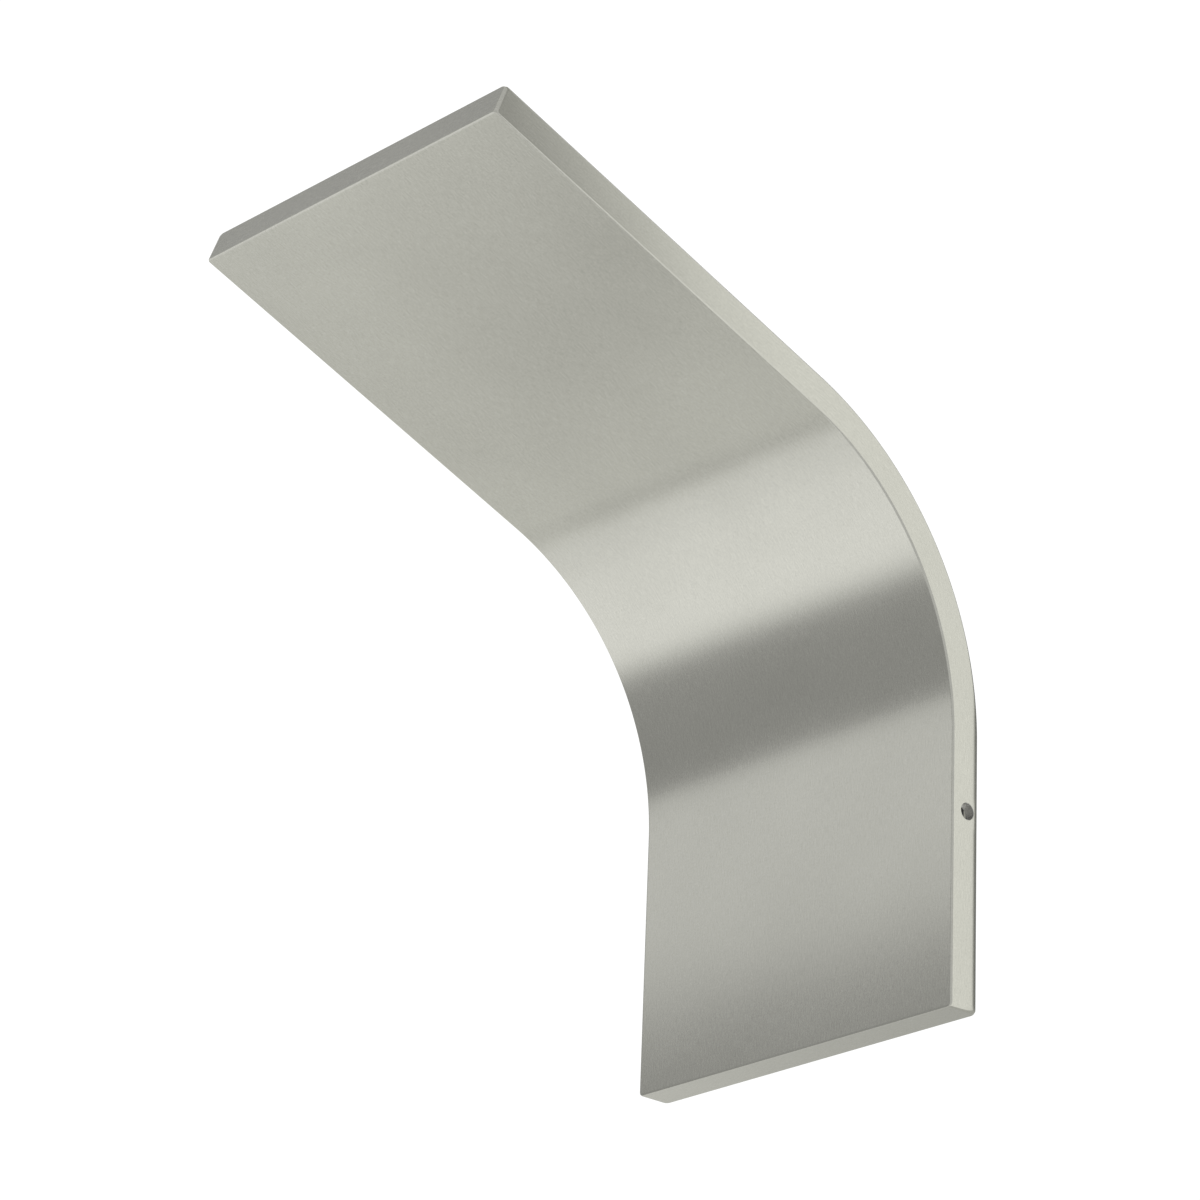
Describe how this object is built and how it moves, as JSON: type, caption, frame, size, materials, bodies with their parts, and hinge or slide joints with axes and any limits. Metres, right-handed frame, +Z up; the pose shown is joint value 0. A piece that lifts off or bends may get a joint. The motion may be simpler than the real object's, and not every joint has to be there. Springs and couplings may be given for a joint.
{
  "type": "slide panel",
  "caption": "Bent stainless slide panel: a smooth curved sliding face with a deep rim all round, cross ribs behind it and a bolt bore in each cheek.",
  "frame": {"origin": "middle of the panel's length and width, at the height of the back edge of the run-out leg's rim", "axes": "+X from the free end of the run-out leg towards the foot of the steep leg, +Y to the right of a rider who slides down, +Z up with the run-out leg level"},
  "size_m": [0.7722, 0.45, 0.6656],
  "materials": {
    "satin_sheet": "satin ground stainless sheet, fine grain along the slide",
    "mill_sheet": "mill finish stainless sheet with heat tint near the welds",
    "turned_steel": "turned stainless with fine rings"
  },
  "bodies": {
    "root": {"slide_bed": "satin_sheet", "left_cheek": "satin_sheet", "right_cheek": "satin_sheet", "top_end_cap": "satin_sheet", "bottom_end_cap": "satin_sheet", "left_bush": "turned_steel", "right_bush": "turned_steel", "lower_rib": "mill_sheet", "bend_rib_low": "mill_sheet", "bend_rib_high": "mill_sheet", "upper_rib_low": "mill_sheet", "upper_rib_high": "mill_sheet"}
  },
  "joints": []
}
